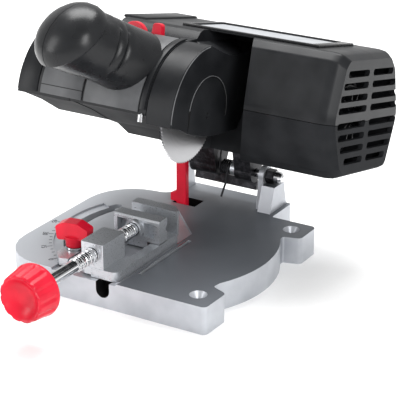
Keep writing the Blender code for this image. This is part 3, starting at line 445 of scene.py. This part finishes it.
def turned(profile, segments, foot):
    """Turn (along, radius) stations upwards from a foot by extruding and sizing a ring."""
    deselect()
    along, radius = profile[0]
    bpy.ops.mesh.primitive_circle_add(vertices=segments, radius=radius, fill_type="NGON",
                                      location=(0.0, 0.0, along))
    item = bpy.context.view_layer.objects.active
    bpy.ops.object.mode_set(mode="EDIT")
    for next_along, next_radius in profile[1:]:
        bpy.ops.mesh.extrude_region_move(
            TRANSFORM_OT_translate={"value": (0.0, 0.0, next_along - along)})
        scale = next_radius / radius
        bpy.ops.transform.resize(value=(scale, scale, 1.0),
                                 center_override=(0.0, 0.0, next_along))
        along, radius = next_along, next_radius
    bpy.ops.object.mode_set(mode="OBJECT")
    item.matrix_world = Matrix.Translation(Vector(foot)) @ item.matrix_world
    item.data.transform(item.matrix_world)
    item.matrix_world = Matrix.Identity(4)
    return item


def block(x0, x1, y0, y1, z0, z1):
    """A box between its limits."""
    deselect()
    bpy.ops.mesh.primitive_cube_add(size=1.0, location=((x0 + x1) / 2, (y0 + y1) / 2,
                                                        (z0 + z1) / 2))
    item = bpy.context.view_layer.objects.active
    item.scale = (x1 - x0, y1 - y0, z1 - z0)
    bpy.ops.object.transform_apply(location=True, rotation=True, scale=True)
    return item


def swept(points, radius, resolution):
    """A round bar along points, from a curve made into a mesh."""
    deselect()
    curve = bpy.data.curves.new("bar", "CURVE")
    curve.dimensions = "3D"
    curve.bevel_depth = radius
    curve.bevel_resolution = resolution
    curve.use_fill_caps = True
    spline = curve.splines.new("POLY")
    spline.points.add(len(points) - 1)
    for slot, point in zip(spline.points, points):
        slot.co = (*point, 1.0)
    item = bpy.data.objects.new("bar", curve)
    bpy.context.scene.collection.objects.link(item)
    activate(item)
    bpy.ops.object.convert(target="MESH")
    return bpy.context.view_layer.objects.active


def cut_out(outline, thickness, rounding=0.0):
    """A flat shape in X and Y, cut from sheet and rounded at its edges."""
    deselect()
    curve = bpy.data.curves.new("sheet", "CURVE")
    curve.dimensions = "2D"
    curve.fill_mode = "BOTH"
    curve.extrude = thickness / 2 - rounding
    curve.bevel_depth = rounding
    curve.bevel_resolution = 1
    curve.offset = -rounding
    spline = curve.splines.new("POLY")
    spline.points.add(len(outline) - 1)
    for slot, point in zip(spline.points, outline):
        slot.co = (point[0], point[1], 0.0, 1.0)
    spline.use_cyclic_u = True
    item = bpy.data.objects.new("sheet", curve)
    bpy.context.scene.collection.objects.link(item)
    activate(item)
    bpy.ops.object.convert(target="MESH")
    item = bpy.context.view_layer.objects.active
    activate(item)
    bpy.ops.object.mode_set(mode="EDIT")
    bpy.ops.mesh.select_all(action="SELECT")
    bpy.ops.mesh.remove_doubles(threshold=0.0005)
    bpy.ops.object.mode_set(mode="OBJECT")
    return item


def polar(centre, radius, degrees):
    """The point at an angle and a distance from a centre."""
    angle = math.radians(degrees)
    return (centre[0] + radius * math.cos(angle), centre[1] + radius * math.sin(angle))


# A sheet drawn in X and Y stands on edge: X runs back along the head, Y up, thickness across
ON_SIDE = Matrix(((0.0, 0.0, 1.0, 0.0), (1.0, 0.0, 0.0, 0.0),
                  (0.0, 1.0, 0.0, 0.0), (0.0, 0.0, 0.0, 1.0)))


def arc(centre, radius, start, stop, steps):
    """Points round a centre from one angle to another."""
    return [polar(centre, radius, start + (stop - start) * i / steps) for i in range(steps + 1)]


def band(centre, inner, outer, start, stop, steps=24):
    """Outline of a curved strip."""
    return arc(centre, outer, start, stop, steps) + arc(centre, inner, stop, start, steps)


def rectangle(left, right, front, back):
    """Outline of a rectangle."""
    return [(left, front), (right, front), (right, back), (left, back)]


# ---------------------------------------------------------------- head

def nose_panel(name, left, right, start, stop, material, proud=PANEL_PROUD):
    """A moulded panel wrapped round the nose of the casing, between two angles."""
    outline = band(ARBOR, NOSE_RADIUS - PANEL_ROOT, NOSE_RADIUS + proud, start, stop)
    item = cut_out(outline, thickness=right - left, rounding=0.25)
    settle(item, HEAD_PLACE @ Matrix.Translation(((left + right) / 2, 0.0, 0.0)) @ ON_SIDE)
    dress(item, name, material, "head")


def build_nose():
    """Panels, rib and lip round the nose, and the bright pin ahead of them."""
    nose_panel("nose_panel_left", -62.0, -50.6, 96.0, 178.5, SATIN)
    # Middle and right panels: the same black plastic painted lighter grey, a painted reflection
    # of the front light
    nose_panel("nose_panel_middle", -48.8, -25.2, 96.0, 178.5, GRAINED_PAINTED_REFLECTION)
    nose_panel("nose_panel_right", -23.8, 6.6, 96.0, 178.5, GRAINED_PAINTED_REFLECTION)
    nose_panel("nose_rib", 7.4, 10.2, 96.0, 176.0, SATIN, proud=0.7)
    # Lip: a thin strip of painted shade across the middle panel
    nose_panel("nose_lip_left", -48.8, -25.2, 171.0, 171.6, PAINTED_SHADE, proud=0.5)
    pin = turned(PIN_PROFILE, segments=24, foot=PIN_FOOT)
    settle(pin, HEAD_PLACE)
    dress(pin, "nose_pin", BRIGHT, "head")


def guard_mark(name, outline, material):
    """A thin raised mark on the guard's outer face."""
    mark = cut_out(outline, thickness=0.3)
    settle(mark, HEAD_PLACE @ Matrix.Translation((GUARD_FACE + 0.05, 0.0, 0.0)) @ ON_SIDE)
    dress(mark, name, material, "head")


def build_arrow():
    """Turning arrow on the guard, a thin arc with a barbed end, and the line of its rim."""
    line = band(ARROW_CENTRE, ARROW_RADIUS - 0.25, ARROW_RADIUS + 0.25, *ARROW_SWEEP, steps=40)
    edge = band(ARROW_CENTRE, ARROW_RADIUS + 0.3, ARROW_RADIUS + 0.6, *ARROW_SWEEP, steps=40)
    rim = band(ARBOR, NOSE_RADIUS - 1.1, NOSE_RADIUS - 0.7, *RIM_SWEEP, steps=36)
    end = ARROW_CENTRE[0] - ARROW_RADIUS
    level = ARROW_CENTRE[1]
    barb = [(end - 1.1, level + 1.6), (end, level - 9.0), (end + 0.7, level + 1.6)]
    # Arc and barb are painted shade standing for the moulded groove; the edge and rim lines are
    # painted highlights
    guard_mark("guard_arrow_line", line, PAINTED_SHADE)
    guard_mark("guard_arrow_highlight", edge, PAINTED_HIGHLIGHT)
    guard_mark("guard_arrow_head", barb, PAINTED_SHADE)
    guard_mark("guard_rim_highlight", rim, PAINTED_HIGHLIGHT)


def build_deck_trim():
    """Label film on its dark backing, its bezel, and the raised step to its left."""
    refined("label_plate", 0.2, SMOOTH, "head")
    film = cut_out(rectangle(*LABEL_EDGES), thickness=0.24, rounding=0.06)
    settle(film, HEAD_PLACE @ Matrix.Translation((0.0, 0.0, DECK + 0.2)))
    dress(film, "label_face", LABEL, "head")
    bezel = cut_out(rectangle(*BEZEL_EDGES), thickness=1.2, rounding=0.2)
    window = block(*BEZEL_WINDOW, -4.0, 4.0)
    apply_modifier(bezel, "BOOLEAN", operation="DIFFERENCE", object=window, solver="EXACT")
    bpy.data.objects.remove(window, do_unlink=True)
    settle(bezel, HEAD_PLACE @ Matrix.Translation((0.0, 0.0, DECK + 0.55)))
    dress(bezel, "label_bezel", SMOOTH, "head")
    pad = cut_out(rectangle(*STEP_EDGES), thickness=1.6, rounding=0.7)
    settle(pad, HEAD_PLACE @ Matrix.Translation((0.0, 0.0, DECK + 0.2)))
    dress(pad, "deck_step", SATIN, "head")


def build_saddle():
    """Sloping shoulder between the deck and the top of the guard."""
    shoulder = block(-7.0, 7.0, -18.0, 18.0, -1.2, 1.2)
    apply_modifier(shoulder, "BEVEL", width=0.8, segments=3)
    slope = Matrix.Rotation(SADDLE_SLOPE, 4, "Y")
    settle(shoulder, HEAD_PLACE @ Matrix.Translation(SADDLE_PLACE) @ slope)
    dress(shoulder, "guard_saddle", SATIN, "head")


def build_screw_heads():
    """Slots in the heads of the casing's screws, drawn as thin plates of painted shade."""
    for index, (x, back) in enumerate(CASING_SCREWS):
        slot = block(-1.6, 1.6, -0.3, 0.3, -0.15, 0.15)
        place = Matrix.Translation((x, back, SCREW_HEAD_LEVEL))
        place = place @ Matrix.Rotation(SLOT_TURN * index, 4, "Z")
        settle(slot, HEAD_PLACE @ place)
        dress(slot, "screw_slot_%d" % (index + 1), PAINTED_SHADE, "head")


def refine_head():
    """Softened copies of the head's outer pieces; a bevel would tear the upper casing's skin."""
    refined("casing_upper", 0.0, SATIN, "head", smooth=28.0)
    refined("casing_lower", 0.25, DULL, "head")
    refined("blade_guard", 0.4, SATIN, "head")
    refined("head_yoke", 0.4, BLACK_STEEL, "head")
    refined("grip_left", 0.0, SMOOTH, "head", smooth=50.0)
    refined("grip_right", 0.0, SMOOTH, "head", smooth=50.0)
    refined("switch_slider", 0.4, RED, "slider")
    refined("switch_trigger", 0.5, RED, "trigger")


# ---------------------------------------------------------------- base and vise

def in_hollow(place):
    """Whether a face is on an inner wall of the front notch or of the stop's window."""
    for limits in (FRONT_NOTCH, STOP_WINDOW):
        if all(low < value < high for value, (low, high) in zip(place, limits)):
            return True
    return False


def build_casting():
    """The cast base with soft edges, paint on its level top and painted shade on the walls of its
    hollows.
    """
    item = refined("base_casting", 0.45, CASTING, "base")
    item.data.materials.append(PAINT)
    item.data.materials.append(PAINTED_SHADE)
    for face in item.data.polygons:
        if face.normal.z > 0.95 and face.center.z > (TABLE_TOP - 0.4) * MM:
            face.material_index = 1
        # Inner walls of the hollows: painted shade
        elif in_hollow(face.center / MM):
            face.material_index = 2


def build_bright_edges():
    """Milled lips beside the vise's recess and the blade's kerf."""
    for name, x, front, back in (("recess_lip", 10.75, -63.5, -1.0),
                                 ("kerf_lip", 12.7, -48.4, -3.0)):
        lip = block(x - 0.22, x + 0.22, front, back, TABLE_TOP - 0.2, TABLE_TOP + 0.16)
        apply_modifier(lip, "BEVEL", width=0.1, segments=2)
        settle(lip)
        dress(lip, name, BRIGHT, "base")


def refine_vise():
    """Softened copies of the vise's pieces and of the red stop behind it."""
    refined("vise_bed", 0.35, MILLED, "vise")
    refined("sliding_jaw", 0.3, MILLED, "jaw")
    refined("travel_stop", 0.4, RED, "base")
    refined("clamp_knob", 0.6, RED, "lock", segments=3)
    refined("vise_handwheel", 0.3, RED, "screw", smooth=45.0)


def build_thread():
    """The vise screw's thread: a thin bar wound along its stem."""
    start, stop = THREAD
    turns = (stop - start) / THREAD_PITCH
    steps = int(turns * POINTS_PER_TURN)
    points = []
    for i in range(steps + 1):
        angle = 2.0 * math.pi * turns * i / steps
        points.append((SCREW_AXIS.x + THREAD_RADIUS * math.cos(angle),
                       start + (stop - start) * i / steps,
                       SCREW_AXIS.z + THREAD_RADIUS * math.sin(angle)))
    ridge = swept(points, THREAD_BAR, resolution=1)
    settle(ridge)
    dress(ridge, "screw_thread", BRIGHT, "screw")


def numeral(text, centre, turn):
    """A numeral standing just proud of the table."""
    deselect()
    bpy.ops.object.text_add(location=(0.0, 0.0, 0.0))
    item = bpy.context.view_layer.objects.active
    item.data.body = text
    item.data.size = NUMERAL_SIZE
    item.data.align_x = "CENTER"
    item.data.align_y = "CENTER"
    item.data.extrude = NUMERAL_DEPTH
    activate(item)
    bpy.ops.object.convert(target="MESH")
    item = bpy.context.view_layer.objects.active
    item.matrix_world = (Matrix.Translation((centre[0], centre[1], TABLE_TOP + 0.03))
                         @ Matrix.Rotation(turn, 4, "Z"))
    settle(item)
    dress(item, "scale_numeral_" + text, INK, "base")


def build_scale():
    """Swivel scale: evenly spaced fine ticks, the numbered ones longer."""
    for step in range(TICK_COUNT):
        angle = SCALE_ZERO - TICK_STEP * step
        numbered = step % TICKS_PER_NUMERAL == 0
        reach = LONG_TICK if numbered else SHORT_TICK
        near = polar(PIVOT, SCALE_RADIUS + 0.7, angle)
        tick = block(0.0, reach, -0.14, 0.14, -0.08, 0.08)
        tick.matrix_world = (Matrix.Translation((near[0], near[1], TABLE_TOP + 0.02))
                             @ Matrix.Rotation(math.radians(angle), 4, "Z"))
        settle(tick)
        dress(tick, "scale_tick_%02d" % step, INK, "base")
        if numbered:
            numeral("%d" % (TICK_STEP * step), polar(PIVOT, SCALE_RADIUS + 5.0, angle),
                    math.radians(angle + 90.0))


# ---------------------------------------------------------------- stage

def build_stage():
    """White floor under an even white sky."""
    deselect()
    bpy.ops.mesh.primitive_plane_add(size=FLOOR_SIZE, location=(0.0, 0.0, 0.0))
    floor = bpy.context.view_layer.objects.active
    floor.name = "floor"
    floor.data.materials.append(PAPER)
    world = bpy.data.worlds.new("studio")
    world.use_nodes = True
    sky = world.node_tree.nodes["Background"]
    sky.inputs["Color"].default_value = (1.0, 1.0, 1.0, 1.0)
    sky.inputs["Strength"].default_value = WORLD_STRENGTH
    bpy.context.scene.world = world
    bpy.context.scene.view_settings.view_transform = "Standard"


def soft_light(name, place, aim, size, power):
    """A rectangular lamp aimed at a point; power is in watts."""
    lamp = bpy.data.lights.new(name, "AREA")
    lamp.shape = "RECTANGLE"
    lamp.size, lamp.size_y = size
    lamp.energy = power
    item = bpy.data.objects.new(name, lamp)
    bpy.context.scene.collection.objects.link(item)
    item.location = place
    item.rotation_euler = (Vector(aim) - Vector(place)).to_track_quat("-Z", "Y").to_euler()


def build_lights():
    soft_light("overhead", (-0.15, 0.25, 0.75), (0.0, 0.0, 0.06), (0.6, 0.4), 8.0)
    soft_light("front_left", (-0.55, -0.6, 0.3), (0.0, 0.0, 0.06), (0.3, 0.5), 2.6)
    soft_light("right_side", (0.7, -0.45, 0.5), (0.05, 0.0, 0.07), (0.25, 0.5), 4.5)


def build_camera():
    lens = bpy.data.cameras.new("camera")
    lens.lens = CAMERA_LENS
    lens.sensor_width = 36.0
    lens.clip_start = 0.05
    item = bpy.data.objects.new("camera", lens)
    bpy.context.scene.collection.objects.link(item)
    item.location = CAMERA_PLACE
    item.rotation_euler = CAMERA_TURN
    bpy.context.scene.camera = item


build_stage()
build_lights()
build_camera()
finish_cad_nodes()
refine_head()
build_nose()
build_arrow()
build_deck_trim()
build_saddle()
build_screw_heads()
build_casting()
build_bright_edges()
refine_vise()
build_thread()
build_scale()
